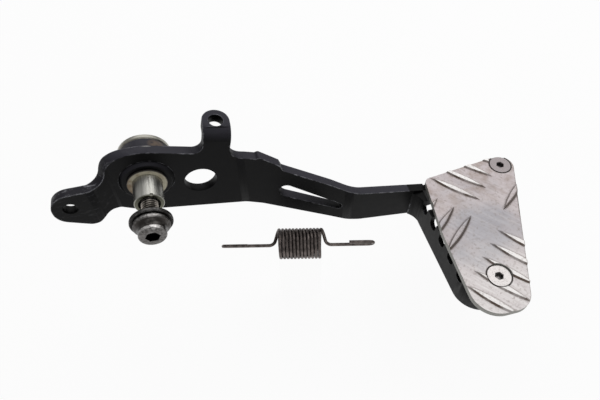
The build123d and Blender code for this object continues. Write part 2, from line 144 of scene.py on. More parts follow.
for slant, start, full in (
    (sideways, 0.30, 0.45), (sideways, 0.93, 0.80), (turned["Z"], 0.25, 0.40)
):
    within = add(tree, "MapRange", {"Value": slant, "From Min": start, "From Max": full})
    arm_edge_highlight = add(tree, "Math", {0: arm_edge_highlight, 1: within}, operation="MULTIPLY")
arm_edge_highlight = add(tree, "Math", {0: arm_edge_highlight, 1: ARM_EDGE_HIGHLIGHT}, operation="MULTIPLY")
rub_and_edge_highlight = add(tree, "Math", {0: rub_and_edge_highlight, 1: arm_edge_highlight}, operation="MAXIMUM")
rub_and_edge_highlight = add(tree, "Math", {0: rub_and_edge_highlight, 1: clear}, operation="MULTIPLY")
about = add(tree, "VectorMath", {0: space["Object"], 1: ABOUT_PIVOT}, operation="MULTIPLY")
for plain_x, plain_z, plain_radius in PLAIN_PLACES_MM:
    plain_middle = (plain_x * MM, 0, plain_z * MM)
    off = add(tree, "VectorMath", {0: about, 1: plain_middle}, operation="DISTANCE")
    outside = add(
        tree, "MapRange",
        {
            "Value": off,
            "From Min": (plain_radius + PLAIN_TO_MM) * MM,
            "From Max": (plain_radius + MARKED_FROM_MM) * MM,
        },
    )
    rub_and_edge_highlight = add(tree, "Math", {0: rub_and_edge_highlight, 1: outside}, operation="MULTIPLY")
    dust_and_top_light = add(tree, "Math", {0: dust_and_top_light, 1: outside}, operation="MULTIPLY")
# Scuffs run along the ear, mostly on its top, and dull its bloom of dust and painted top light.
drawn_out = add(tree, "VectorMath", {0: space["Object"], 1: SCUFF_DRAWN_OUT}, operation="MULTIPLY")
scratched = add(
    tree, "TexNoise",
    {"Vector": drawn_out, "Scale": 1 / (SCUFF_MM * MM), "Detail": 7.0, "Roughness": 0.7},
)
scuffed = add(tree, "MapRange", {"Value": scratched, "From Min": 0.55, "From Max": 0.68})
scuff_share = add(
    tree, "Math", {0: dust_and_top_light, 1: SCUFF_ON_TOPS, 2: SCUFF_ON_FACES}, operation="MULTIPLY_ADD"
)
scuff = add(tree, "Math", {0: ear, 1: scuffed}, operation="MULTIPLY")
scuff = add(tree, "Math", {0: scuff, 1: scuff_share}, operation="MULTIPLY")
mark = add(tree, "Math", {0: rub_and_edge_highlight, 1: scuff}, operation="MAXIMUM")
dimmed = add(tree, "Math", {0: ear, 1: -EAR_DULLING, 2: 1.0}, operation="MULTIPLY_ADD")
dust_and_top_light = add(tree, "Math", {0: dust_and_top_light, 1: dimmed}, operation="MULTIPLY")
# Painted top light, painted corner shade and painted edge highlight go into the colour here.
colour = linear(COAT_BLACK)
for share, tint in ((dust_and_top_light, COAT_DUST_AND_TOP_LIGHT), (corner_shade, COAT_CORNER_SHADE), (mark, COAT_RUB_AND_EDGE_HIGHLIGHT)):
    colour = add(tree, "Mix", {FACTOR: share, UNDER: colour, OVER: linear(tint)}, data_type="RGBA")
broken = add(tree, "MapRange", {"Value": scratched, "From Min": 0.34, "From Max": 0.54})
for spot_mm, per_mm, tint in COAT_SPOTS:
    spot = [v * MM for v in spot_mm]
    per_m = [v / MM for v in per_mm]
    off = add(tree, "VectorMath", {0: space["Object"], 1: spot}, operation="SUBTRACT")
    off = add(tree, "VectorMath", {0: off, 1: per_m}, operation="MULTIPLY")
    off = add(tree, "VectorMath", {0: off}, operation="LENGTH")
    near = add(tree, "MapRange", {"Value": off, "From Min": 1.0, "From Max": 0.5})
    worn = add(tree, "Math", {0: near, 1: broken}, operation="MULTIPLY")
    colour = add(tree, "Mix", {FACTOR: worn, UNDER: colour, OVER: linear(tint)}, data_type="RGBA")
dull = add(tree, "MapRange", {"Value": patches, "To Min": 0.36, "To Max": 0.52})
peel = add(
    tree, "TexNoise", {"Vector": space["Object"], "Scale": 1 / (ORANGE_PEEL_MM * MM), "Detail": 2.0}
)
relief = add(tree, "Bump", {"Height": peel, "Strength": 0.12, "Distance": ORANGE_PEEL_DEEP_MM * MM})
skin.inputs["Specular IOR Level"].default_value = COAT_SPECULAR
tree.links.new(colour, skin.inputs["Base Color"])
tree.links.new(dull, skin.inputs["Roughness"])
tree.links.new(relief, skin.inputs["Normal"])

WELD_WITHIN_MM = 0.005
FLAT_WITHIN = radians(0.4)
SHARP_FROM = radians(32)


def dress(node_name, material, ease_mm):
    """Gives a CAD node its finish and eases its sharp edges by a small round."""
    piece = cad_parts[node_name]
    piece.material_slots[0].material = material
    joined = piece.modifiers.new("joined", "WELD")
    joined.merge_threshold = WELD_WITHIN_MM * MM
    flat = piece.modifiers.new("whole_faces", "DECIMATE")
    flat.decimate_type = "DISSOLVE"
    flat.angle_limit = FLAT_WITHIN
    eased = piece.modifiers.new("eased", "BEVEL")
    eased.width = ease_mm * MM
    eased.segments = 2
    eased.limit_method = "ANGLE"
    eased.angle_limit = SHARP_FROM
    eased.harden_normals = True


dress("lever_plate", coat, ease_mm=0.5)

# Pivot boss
# A steel tube pushed through the plate, welded behind it and bored for the bushes. It is
# coated with the lever.
dress("pivot_boss", coat, ease_mm=0.3)

# Bushes
# Two flanged bearings, moulded in cream acetal and pushed into the boss. The outer one shows
# its flange round the sleeve, stained brown where grease and rust have crept out.

# Moulded cream acetal: dull cream on the flange's face with brown at its left edge, its rim drawn
# near black.
ACETAL_CREAM = "#b0aa95"
ACETAL_STAIN = "#7a6549"
ACETAL_DARK_RIM = "#221d19"
ACETAL_ROUGHNESS = 0.5
STAIN_PATCH_MM = 4.0
STAIN_LEAN = 0.32
STAIN_FROM_MM, STAIN_FULL_MM = -5.0, -10.0
DARK_RIM_FROM_MM, DARK_RIM_FULL_MM = 9.1, 9.5

cream, tree, skin, space = finish_of("moulded_cream_acetal")
blotch = add(
    tree, "TexNoise", {"Vector": space["Object"], "Scale": 1 / (STAIN_PATCH_MM * MM), "Detail": 4.0}
)
across = add(tree, "SeparateXYZ", {0: space["Object"]}, "X")
left = add(
    tree, "MapRange",
    {"Value": across, "From Min": STAIN_FROM_MM * MM, "From Max": STAIN_FULL_MM * MM},
)
lean_left = add(tree, "Math", {0: left, 1: STAIN_LEAN, 2: blotch}, operation="MULTIPLY_ADD")
stain = add(tree, "MapRange", {"Value": lean_left, "From Min": 0.50, "From Max": 0.80})
about = add(tree, "VectorMath", {0: space["Object"], 1: ABOUT_PIVOT}, operation="MULTIPLY")
radius = add(tree, "VectorMath", {0: about}, operation="LENGTH")
rim = add(
    tree, "MapRange",
    {"Value": radius, "From Min": DARK_RIM_FROM_MM * MM, "From Max": DARK_RIM_FULL_MM * MM},
)
colour = linear(ACETAL_CREAM)
for share, tint in ((stain, ACETAL_STAIN), (rim, ACETAL_DARK_RIM)):
    colour = add(tree, "Mix", {FACTOR: share, UNDER: colour, OVER: linear(tint)}, data_type="RGBA")
skin.inputs["Roughness"].default_value = ACETAL_ROUGHNESS
tree.links.new(colour, skin.inputs["Base Color"])
dress("outer_bush", cream, ease_mm=0.25)
dress("inner_bush", cream, ease_mm=0.25)

# Pivot sleeve
# Turned from steel bar with a flange at its inboard end, zinc plated. The pedal turns on
# it, and the bolt clamps it to the frame.

# Turned zinc-plated steel: silver grey with streaks along the axis, a dull olive front rim and
# brown rust where the flange meets the boss. The real streaks are finer, and are drawn as coarse
# as they need to show.
ZINC_BRIGHT = "#c6c5bf"
ZINC_DULL = "#94938c"
ZINC_RIM = "#66665a"
ZINC_FLANGE = "#9a9890"
ZINC_RUST = "#4d3a28"
STREAK_MM = 0.55
STREAK_DRAWN_OUT = (1.0, 0.05, 1.0)
RIM_FROM_MM, RIM_FULL_MM = -14.7, -15.1
FLANGE_FROM_MM = 10.0
RUST_PATCH_MM = 3.0
RUST_FROM_MM, RUST_FULL_MM = 16.7, 15.8

zinc, tree, skin, space = finish_of("turned_zinc_plated_steel")
drawn_out = add(tree, "VectorMath", {0: space["Object"], 1: STREAK_DRAWN_OUT}, operation="MULTIPLY")
streaks = add(
    tree, "TexNoise", {"Vector": drawn_out, "Scale": 1 / (STREAK_MM * MM), "Detail": 4.0}
)
streaky = add(tree, "MapRange", {"Value": streaks, "From Min": 0.25, "From Max": 0.85})
depth = add(tree, "SeparateXYZ", {0: space["Object"]}, "Y")
rim = add(
    tree, "MapRange",
    {"Value": depth, "From Min": RIM_FROM_MM * MM, "From Max": RIM_FULL_MM * MM},
)
behind = add(tree, "Math", {0: depth, 1: FLANGE_FROM_MM * MM}, operation="GREATER_THAN")
joint = add(
    tree, "MapRange",
    {"Value": depth, "From Min": RUST_FROM_MM * MM, "From Max": RUST_FULL_MM * MM},
)
blotch = add(
    tree, "TexNoise", {"Vector": space["Object"], "Scale": 1 / (RUST_PATCH_MM * MM), "Detail": 5.0}
)
rusty = add(tree, "MapRange", {"Value": blotch, "From Min": 0.35, "From Max": 0.6})
rust = add(tree, "Math", {0: joint, 1: behind}, operation="MULTIPLY")
rust = add(tree, "Math", {0: rust, 1: rusty}, operation="MULTIPLY")
colour = linear(ZINC_BRIGHT)
for share, tint in (
    (streaky, ZINC_DULL), (rim, ZINC_RIM), (behind, ZINC_FLANGE), (rust, ZINC_RUST)
):
    colour = add(tree, "Mix", {FACTOR: share, UNDER: colour, OVER: linear(tint)}, data_type="RGBA")
dull = add(tree, "MapRange", {"Value": blotch, "To Min": 0.30, "To Max": 0.42})
skin.inputs["Metallic"].default_value = 1.0
tree.links.new(colour, skin.inputs["Base Color"])
tree.links.new(dull, skin.inputs["Roughness"])
dress("pivot_sleeve", zinc, ease_mm=0.2)

# Bolt washer and pivot bolt
# A thick washer under an M8 socket bolt with a flange, both blackened in oxide and worn
# back to grey steel on the edges. The thread shows in the gap before the sleeve.
BOLT_SIDES = 48
BOLT_TIP_Y_MM = 13.4
THREAD_PITCH_MM = 1.25
THREAD_CREST_MM = 3.98
THREAD_ROOT_MM = 3.32
THREAD_FLANK, THREAD_FLAT = 1.3, 0.15
THREAD_LEAD_MM = 0.8
THREAD_ROWS_PER_TURN = 6
# The head's rings, from the socket's floor to the shank: place on the axis, radius, six sides.
BOLT_HEAD_MM = (
    (-29.2, 1.0, True), (-29.6, 3.0, True), (-34.0, 3.0, True), (-34.3, 3.55, False),
    (-34.3, 5.45, False), (-34.1, 5.9, False), (-33.55, 6.32, False), (-33.1, 6.45, False),
    (-30.9, 6.45, False), (-30.2, 6.55, False), (-29.5, 6.95, False), (-28.95, 7.6, False),
    (-28.6, 8.2, False), (-28.3, 8.45, False), (-26.95, 8.48, False), (-26.65, 8.25, False),
    (-26.62, 4.2, False), (-26.3, 3.4, False),
)

# Worn black oxide on steel: dark grey, rubbed to bare steel on rims and chamfers, with a
# painted glint where they face up, painted shade black in the socket and crevices, and on the
# thread brown-grey crests with a painted highlight and roots with painted shade. The real mottle
# is finer, and is drawn as coarse as it needs to show.
OXIDE_DARK = "#383533"
OXIDE_BLACK = "#191716"
OXIDE_BARE_AND_GLINT = "#dad7d5"
OXIDE_CREST_HIGHLIGHT = "#aaa39a"
OXIDE_ROOT_SHADE = "#35302b"
OXIDE_HOLLOW_SHADE = "#0c0b0a"
OXIDE_METALLIC = 0.9
OXIDE_PATCH_MM = 2.2
MOTTLE_MM = 1.1
CREVICE_MM = 2.5
EDGE_WEAR_MM, EDGE_WEAR = 0.6, 0.3
WASHER_FROM_MM = 8.65
SHANK_FROM_MM, SHANK_FULL_MM = -24.5, -24.3
RIDGE_FROM_MM, RIDGE_FULL_MM = 3.42, 3.90
SOCKET_RADIUS_MM = 3.56
SOCKET_FROM_MM, SOCKET_FULL_MM = -34.2, -33.8
HEAD_TO_MM = -28.0
# Bands rubbed bare, with a painted glint where they face up: what is measured, from and to in
# mm, and their share at the side and on top.
RUBBED_AND_GLINT_BANDS = (
    ("radius", (7.9, 8.6), 0.06, 0.50),
    ("radius", (9.5, 10.0), 0.02, 0.14),
    ("depth", (-34.4, -34.2), 0.18, 0.18),
    ("depth", (-34.2, -33.3), 0.26, 0.45),
    ("depth", (-33.3, -31.9), 0.04, 1.00),
)

oxide, tree, skin, space = finish_of("worn_black_oxide_steel")
# Sharp edges are worn a little, and the oxide is thin in patches.
edge = edges_of(tree, EDGE_WEAR_MM, start=0.995, full=0.88)
blotch = add(
    tree, "TexNoise", {"Vector": space["Object"], "Scale": 1 / (OXIDE_PATCH_MM * MM), "Detail": 6.0}
)
patchy = add(tree, "MapRange", {"Value": blotch, "From Min": 0.3, "From Max": 0.6})
worn = add(tree, "Math", {0: edge, 1: patchy}, operation="MULTIPLY")
worn = add(tree, "Math", {0: worn, 1: EDGE_WEAR}, operation="MULTIPLY")
thin = add(tree, "MapRange", {"Value": blotch, "From Min": 0.5, "From Max": 0.8, "To Max": 0.12})
worn = add(tree, "Math", {0: worn, 1: thin}, operation="MAXIMUM")
# Bands on the rims and the head are rubbed bare and mottled, with a painted glint that makes
# them brighter where they face up.
depth = add(tree, "SeparateXYZ", {0: space["Object"]}, "Y")
about = add(tree, "VectorMath", {0: space["Object"], 1: ABOUT_PIVOT}, operation="MULTIPLY")
radius = add(tree, "VectorMath", {0: about}, operation="LENGTH")
upward = add(tree, "SeparateXYZ", {0: space["Normal"]}, "Z")
fine = add(
    tree, "TexNoise", {"Vector": space["Object"], "Scale": 1 / (MOTTLE_MM * MM), "Detail": 4.0}
)
mottle = add(tree, "MapRange", {"Value": fine, "From Min": 0.38, "From Max": 0.58, "To Min": 0.35})
measured = {"radius": radius, "depth": depth}
for measure, (start_mm, end_mm), least, most in RUBBED_AND_GLINT_BANDS:
    value = measured[measure]
    past = add(tree, "Math", {0: value, 1: start_mm * MM}, operation="GREATER_THAN")
    short_of = add(tree, "Math", {0: value, 1: end_mm * MM}, operation="LESS_THAN")
    band = add(tree, "Math", {0: past, 1: short_of}, operation="MULTIPLY")
    share = add(
        tree, "MapRange",
        {"Value": upward, "From Min": 0.4, "From Max": 0.95, "To Min": least, "To Max": most},
    )
    band = add(tree, "Math", {0: band, 1: share}, operation="MULTIPLY")
    band = add(tree, "Math", {0: band, 1: mottle}, operation="MULTIPLY")
    worn = add(tree, "Math", {0: worn, 1: band}, operation="MAXIMUM")
# The washer is blacker than the bolt, the thread browner with a painted highlight on its crests
# and painted shade in its roots, and hollows get painted shade in black.
washer = add(tree, "Math", {0: radius, 1: WASHER_FROM_MM * MM}, operation="GREATER_THAN")
shank = add(
    tree, "MapRange",
    {"Value": depth, "From Min": SHANK_FROM_MM * MM, "From Max": SHANK_FULL_MM * MM},
)
ridge = add(
    tree, "MapRange",
    {"Value": radius, "From Min": RIDGE_FROM_MM * MM, "From Max": RIDGE_FULL_MM * MM},
)
thread = add(
    tree, "Mix", {FACTOR: ridge, UNDER: linear(OXIDE_ROOT_SHADE), OVER: linear(OXIDE_CREST_HIGHLIGHT)},
    data_type="RGBA",
)
sunk = add(
    tree, "MapRange",
    {"Value": depth, "From Min": SOCKET_FROM_MM * MM, "From Max": SOCKET_FULL_MM * MM},
)
socket = add(tree, "Math", {0: radius, 1: SOCKET_RADIUS_MM * MM}, operation="LESS_THAN")
in_head = add(tree, "Math", {0: depth, 1: HEAD_TO_MM * MM}, operation="LESS_THAN")
hollow_shade = add(tree, "Math", {0: sunk, 1: socket}, operation="MULTIPLY")
hollow_shade = add(tree, "Math", {0: hollow_shade, 1: in_head}, operation="MULTIPLY")
openness = add(tree, "AmbientOcclusion", {"Distance": CREVICE_MM * MM}, "AO", samples=8)
shaded = add(tree, "MapRange", {"Value": openness, "From Min": 0.80, "From Max": 0.45})
hollow_shade = add(tree, "Math", {0: hollow_shade, 1: shaded}, operation="MAXIMUM")
colour = linear(OXIDE_DARK)
for share, cover in (
    (washer, linear(OXIDE_BLACK)), (worn, linear(OXIDE_BARE_AND_GLINT)), (shank, thread),
    (hollow_shade, linear(OXIDE_HOLLOW_SHADE)),
):
    colour = add(tree, "Mix", {FACTOR: share, UNDER: colour, OVER: cover}, data_type="RGBA")
dull = add(tree, "MapRange", {"Value": blotch, "To Min": 0.26, "To Max": 0.40})
skin.inputs["Metallic"].default_value = OXIDE_METALLIC
tree.links.new(colour, skin.inputs["Base Color"])
tree.links.new(dull, skin.inputs["Roughness"])
dress("bolt_washer", oxide, ease_mm=0.3)


def piece_of(name, bm, crease_deg=33):
    """Closes a bmesh into an object, smooth but for edges sharper than the crease."""
    bmesh.ops.recalc_face_normals(bm, faces=bm.faces)
    for face in bm.faces:
        face.smooth = True
    for seam in bm.edges:
        seam.smooth = seam.calc_face_angle(0) < radians(crease_deg)
    mesh = bpy.data.meshes.new(name)
    bm.to_mesh(mesh)
    bm.free()
    piece = bpy.data.objects.new(name, mesh)
    bpy.context.scene.collection.objects.link(piece)
    return piece


def skinned(name, rings, crease_deg=33):
    """A closed piece over a row of rings of points."""
    bm = bmesh.new()
    rows = [[bm.verts.new(point) for point in ring] for ring in rings]
    for row, following in zip(rows, rows[1:]):
        for step in range(len(row)):
            after = (step + 1) % len(row)
            bm.faces.new((row[step], row[after], following[after], following[step]))
    bm.faces.new(rows[0])
    bm.faces.new(rows[-1])
    return piece_of(name, bm, crease_deg)


def turned_ring(y_mm, reach_mm):
    """One ring about the pivot's axis; reach_mm gives the radius at an angle."""
    ring = []
    for step in range(BOLT_SIDES):
        angle = tau * step / BOLT_SIDES
        radius_mm = reach_mm(angle)
        ring.append(Vector((radius_mm * cos(angle), y_mm, radius_mm * sin(angle))) * MM)
    return ring


def head_reach(radius_mm, six_sided):
    """Radius of the head at an angle, round or with six flats."""
    if six_sided:
        return lambda angle: radius_mm / cos(angle % (pi / 3) - pi / 6)
    return lambda angle: radius_mm


def thread_reach(y_mm):
    """Radius of the right-hand thread at an angle, for one place along the shank."""
    def reach(angle):
        turn = (y_mm / THREAD_PITCH_MM + angle / tau) % 1.0
        height = min(1.0, max(0.0, THREAD_FLANK * abs(2 * turn - 1) - THREAD_FLAT))
        tip = THREAD_CREST_MM - max(0.0, y_mm - BOLT_TIP_Y_MM + THREAD_LEAD_MM)
        return min(tip, THREAD_ROOT_MM + (THREAD_CREST_MM - THREAD_ROOT_MM) * height)
    return reach


bolt_rings = [turned_ring(y, head_reach(reach, six)) for y, reach, six in BOLT_HEAD_MM]
row_mm = THREAD_PITCH_MM / THREAD_ROWS_PER_TURN
shank_start_mm = BOLT_HEAD_MM[-1][0] + row_mm
for row in range(int((BOLT_TIP_Y_MM - shank_start_mm) / row_mm) + 1):
    thread_y = shank_start_mm + row * row_mm
    bolt_rings.append(turned_ring(thread_y, thread_reach(thread_y)))
bolt_rings.append(turned_ring(BOLT_TIP_Y_MM, thread_reach(BOLT_TIP_Y_MM)))
bolt = skinned("threaded_pivot_bolt", bolt_rings)
bolt.data.materials.append(oxide)
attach(bolt, "pivot")
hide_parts("pivot_bolt")

# Pad bracket
# A steel strip bent to a loop and welded to the arm's end, its upper rim cut into teeth,
# coated with the lever.
dress("pad_bracket", coat, ease_mm=0.35)

# Tread plate
# Aluminium checker plate, sawn to the loop's outline and screwed down on it. Boots have worn
# its bars bright, drawn with a painted highlight on their crests, and brown dirt sits along
# their front sides, darkened further with painted shade.
PAD_MIDDLE_MM = (163.0, -53.0, -33.0)
SCREW_AXES_MM = ((194.2, -10.1), (158.5, -76.5))
BAR_HEADING = radians(-50)
# The two groups of bars that lie across the rest: middle and reach.
CROSS_BARS_MM = (((150.0, -47.0, -33.0), 17.0), ((187.6, -33.8, -33.0), 10.0))

# Worn rolled aluminium: pale warm grey, bluish where boots polish the middle, bright scratches
# along the bars, crests worn bright with a painted highlight, brown dirt with painted shade on
# their front sides and feet, and a dark ring round the screws. The real scratches and specks are
# finer, and are drawn as coarse as they need to show.
ALU_PALE = "#c5bbbc"
ALU_POLISHED = "#b0adb2"
ALU_BRIGHT = "#f8f5f3"
ALU_SAWN = "#969590"
ALU_SPECK = "#8d8079"
ALU_FOULED = "#a08f87"
ALU_DIRT = "#66574d"
ALU_CAKED = "#43372f"
ALU_RING = "#302926"
ALU_METALLIC = 0.35
POLISH_PATCH_MM = 18.0
POLISH_LEAN = 0.4
POLISH_FROM_MM, POLISH_FULL_MM = 30.0, 8.0
SCRATCH_MM = 1.6
SCRATCH_DRAWN_OUT = (16, 1, 1)
SCRATCH_FAINT, SCRATCH_BRIGHT, SCRATCH_GROUND = 0.16, 0.45, 0.38
SCRATCH_FROM_MM, SCRATCH_FULL_MM = -50.0, -82.0
CROSS_FADE_MM = 6.0
CROSS_SHARE = 0.3
CREST_FROM_MM, CREST_FULL_MM = -32.6, -32.2
REAR_CREST_FROM_MM, REAR_CREST_FULL_MM = -33.0, -18.0
FRONT_CREST_FROM_MM, FRONT_CREST_FULL_MM = -46.0, -60.0
FOULED_PATCH_MM = 5.0
FOULED_FROM_MM, FOULED_FULL_MM = -40.0, -22.0
SPECK_MM, SPECK_DEEP_MM = 1.3, 0.08
RIM_WIDTH_MM = 0.7
CAKED_PATCH_MM = 7.0
CAKED_ON_CROSS_BARS = 0.85
FOOT_DIRT_AND_SHADE_MM = 1.2
DRIFT_AND_SHADE_WIDTH_MM = 1.6
RING_FROM_MM, RING_FULL_MM = 6.8, 6.5

alu, tree, skin, space = finish_of("worn_rolled_aluminium")
place = add(tree, "SeparateXYZ", {0: space["Object"]}).node.outputs
slope = add(tree, "SeparateXYZ", {0: space["Normal"]}).node.outputs
# Boots polish the middle.
blotch = add(
    tree, "TexNoise",
    {"Vector": space["Object"], "Scale": 1 / (POLISH_PATCH_MM * MM), "Detail": 4.0},
)
middle = [v * MM for v in PAD_MIDDLE_MM]
off = add(tree, "VectorMath", {0: space["Object"], 1: middle}, operation="DISTANCE")
near = add(
    tree, "MapRange",
    {"Value": off, "From Min": POLISH_FROM_MM * MM, "From Max": POLISH_FULL_MM * MM},
)
boots = add(tree, "Math", {0: near, 1: POLISH_LEAN, 2: blotch}, operation="MULTIPLY_ADD")
polish = add(tree, "MapRange", {"Value": boots, "From Min": 0.50, "From Max": 0.85})
# Scratches run along the bars, faint behind and bright at the front end.
drawn_out = add(
    tree, "Mapping",
    {"Vector": space["Object"], "Rotation": (0, 0, BAR_HEADING), "Scale": SCRATCH_DRAWN_OUT},
    vector_type="TEXTURE",
)
scratch = add(
    tree, "TexNoise", {"Vector": drawn_out, "Scale": 1 / (SCRATCH_MM * MM), "Detail": 3.0}
)
scratched = add(tree, "MapRange", {"Value": scratch, "From Min": 0.38, "From Max": 0.70})
forward = add(
    tree, "MapRange",
    {"Value": place["Y"], "From Min": SCRATCH_FROM_MM * MM, "From Max": SCRATCH_FULL_MM * MM},
)
streaks = add(
    tree, "Math", {0: scratched, 1: SCRATCH_BRIGHT, 2: SCRATCH_GROUND}, operation="MULTIPLY_ADD"
)
clean = add(tree, "Math", {0: forward, 1: streaks}, operation="MULTIPLY")
faint = add(tree, "Math", {0: scratched, 1: SCRATCH_FAINT}, operation="MULTIPLY")
clean = add(tree, "Math", {0: clean, 1: faint}, operation="MAXIMUM")
# Crests are worn bright, with a painted highlight, at both ends of the plate, and less on the
# bars that lie across.
away = 1.0
for bars_at_mm, reach_mm in CROSS_BARS_MM:
    bars_at = [v * MM for v in bars_at_mm]
    off = add(tree, "VectorMath", {0: space["Object"], 1: bars_at}, operation="DISTANCE")
    past = add(
        tree, "MapRange",
        {"Value": off, "From Min": reach_mm * MM, "From Max": (reach_mm + CROSS_FADE_MM) * MM},
    )
    away = add(tree, "Math", {0: away, 1: past}, operation="MULTIPLY")
cross_bars = add(tree, "Math", {0: 1.0, 1: away}, operation="SUBTRACT")
away = add(
    tree, "Math", {0: away, 1: 1 - CROSS_SHARE, 2: CROSS_SHARE}, operation="MULTIPLY_ADD"
)
crest_wear_and_highlight = add(
    tree, "MapRange",
    {"Value": place["Z"], "From Min": CREST_FROM_MM * MM, "From Max": CREST_FULL_MM * MM},
)
crest_wear_and_highlight = add(tree, "Math", {0: crest_wear_and_highlight, 1: away}, operation="MULTIPLY")
rear_end = add(
    tree, "MapRange",
    {
        "Value": place["Y"], "To Min": 0.2,
        "From Min": REAR_CREST_FROM_MM * MM, "From Max": REAR_CREST_FULL_MM * MM,
    },
)
front_end = add(
    tree, "MapRange",
    {
        "Value": place["Y"], "To Max": 0.95,
        "From Min": FRONT_CREST_FROM_MM * MM, "From Max": FRONT_CREST_FULL_MM * MM,
    },
)
worn = add(tree, "Math", {0: rear_end, 1: front_end}, operation="MAXIMUM")
crest_wear_and_highlight = add(tree, "Math", {0: crest_wear_and_highlight, 1: worn}, operation="MULTIPLY")
bright = add(tree, "Math", {0: clean, 1: crest_wear_and_highlight}, operation="MAXIMUM")
# Old dirt clouds the rear end and specks the whole plate.
rearward = add(
    tree, "MapRange",
    {
        "Value": place["Y"], "To Min": 0.3,
        "From Min": FOULED_FROM_MM * MM, "From Max": FOULED_FULL_MM * MM,
    },
)
fouling = add(
    tree, "TexNoise",
    {"Vector": space["Object"], "Scale": 1 / (FOULED_PATCH_MM * MM), "Detail": 5.0},
)
fouled = add(
    tree, "MapRange", {"Value": fouling, "From Min": 0.42, "From Max": 0.68, "To Max": 0.75}
)
fouled = add(tree, "Math", {0: fouled, 1: rearward}, operation="MULTIPLY")
grain = add(
    tree, "TexNoise", {"Vector": space["Object"], "Scale": 1 / (SPECK_MM * MM), "Detail": 4.0}
)
specks = add(tree, "MapRange", {"Value": grain, "From Min": 0.54, "From Max": 0.76, "To Max": 0.6})
# A line of dirt follows the right-hand rims.
rounded = add(tree, "Bevel", {"Radius": RIM_WIDTH_MM * MM}, samples=6)
rim = add(tree, "SeparateXYZ", {0: rounded}, "X")
rim = add(tree, "MapRange", {"Value": rim, "From Min": 0.12, "From Max": 0.35})
level = add(
    tree, "MapRange", {"Value": slope["Z"], "From Min": 0.85, "From Max": 0.95, "To Max": 0.9}
)
rim = add(tree, "Math", {0: rim, 1: level}, operation="MULTIPLY")
# Dirt cakes on the bars' front and left sides and at their feet, most where they lie across,
# and painted shade darkens the same places.
front = add(tree, "MapRange", {"Value": slope["Y"], "From Min": -0.12, "From Max": -0.4})
left = add(
    tree, "MapRange", {"Value": slope["X"], "From Min": -0.15, "From Max": -0.4, "To Max": 0.6}
)
sides = add(tree, "Math", {0: front, 1: left}, operation="MAXIMUM")
crevice = add(
    tree, "AmbientOcclusion", {"Distance": FOOT_DIRT_AND_SHADE_MM * MM}, "AO", samples=8, only_local=True
)
foot = add(tree, "MapRange", {"Value": crevice, "From Min": 0.97, "From Max": 0.70, "To Max": 0.8})
drift_and_shade = add(tree, "Bevel", {"Radius": DRIFT_AND_SHADE_WIDTH_MM * MM}, samples=8)
drift_and_shade = add(tree, "SeparateXYZ", {0: drift_and_shade}, "Y")
drift_and_shade = add(tree, "MapRange", {"Value": drift_and_shade, "From Min": -0.06, "From Max": -0.22})
drift_and_shade = add(tree, "Math", {0: drift_and_shade, 1: cross_bars}, operation="MULTIPLY")
dirt_and_shade = add(tree, "Math", {0: sides, 1: foot}, operation="MAXIMUM")
dirt_and_shade = add(tree, "Math", {0: dirt_and_shade, 1: drift_and_shade}, operation="MAXIMUM")
cake = add(
    tree, "TexNoise", {"Vector": space["Object"], "Scale": 1 / (CAKED_PATCH_MM * MM), "Detail": 4.0}
)
caked = add(tree, "MapRange", {"Value": cake, "From Min": 0.35, "From Max": 0.62, "To Min": 0.3})
packed = add(tree, "Math", {0: cross_bars, 1: CAKED_ON_CROSS_BARS}, operation="MULTIPLY")
caked = add(tree, "Math", {0: caked, 1: packed}, operation="MAXIMUM")
dirt_and_shade = add(tree, "Math", {0: dirt_and_shade, 1: caked}, operation="MULTIPLY")
soil = add(
    tree, "Mix", {FACTOR: away, UNDER: linear(ALU_CAKED), OVER: linear(ALU_DIRT)}, data_type="RGBA"
)
sawn = add(tree, "MapRange", {"Value": slope["Z"], "From Min": 0.45, "From Max": 0.25})
layers = [
    (polish, linear(ALU_POLISHED)), (fouled, linear(ALU_FOULED)), (bright, linear(ALU_BRIGHT)),
    (specks, linear(ALU_SPECK)), (rim, linear(ALU_DIRT)), (dirt_and_shade, soil),
]
from_above = add(tree, "VectorMath", {0: space["Object"], 1: (1, 1, 0)}, operation="MULTIPLY")
for axis_x, axis_y in SCREW_AXES_MM:
    screw_axis = (axis_x * MM, axis_y * MM, 0)
    off = add(tree, "VectorMath", {0: from_above, 1: screw_axis}, operation="DISTANCE")
    ring = add(
        tree, "MapRange",
        {
            "Value": off, "To Max": 0.9,
            "From Min": RING_FROM_MM * MM, "From Max": RING_FULL_MM * MM,
        },
    )
    layers.append((ring, linear(ALU_RING)))
layers.append((sawn, linear(ALU_SAWN)))
colour = linear(ALU_PALE)
for share, cover in layers:
    colour = add(tree, "Mix", {FACTOR: share, UNDER: colour, OVER: cover}, data_type="RGBA")
dull = add(tree, "MapRange", {"Value": blotch, "To Min": 0.45, "To Max": 0.6})
relief = add(tree, "Bump", {"Height": grain, "Strength": 0.2, "Distance": SPECK_DEEP_MM * MM})
skin.inputs["Metallic"].default_value = ALU_METALLIC
tree.links.new(colour, skin.inputs["Base Color"])
tree.links.new(dull, skin.inputs["Roughness"])
tree.links.new(relief, skin.inputs["Normal"])
dress("tread_plate", alu, ease_mm=0.2)

# Pad screws
# Two M6 countersunk socket screws, zinc plated, flush with the tread. The front one is
# brighter, and both are darkened with painted shade in their sockets and round their rims.

# Bright zinc on screws: pale silver with specks of dirt, and painted shade dark in the socket and
# round the rim.
SCREW_FRONT = "#dfdad8"
SCREW_REAR = "#9a9293"
SCREW_HOLLOW_SHADE = "#171514"
SCREW_METALLIC = 0.5
SCREW_FRONT_Y_MM, SCREW_REAR_Y_MM = -70.0, -15.0
SCREW_SPECK_MM = 0.9
SCREW_SOCKET_MM = 2.5

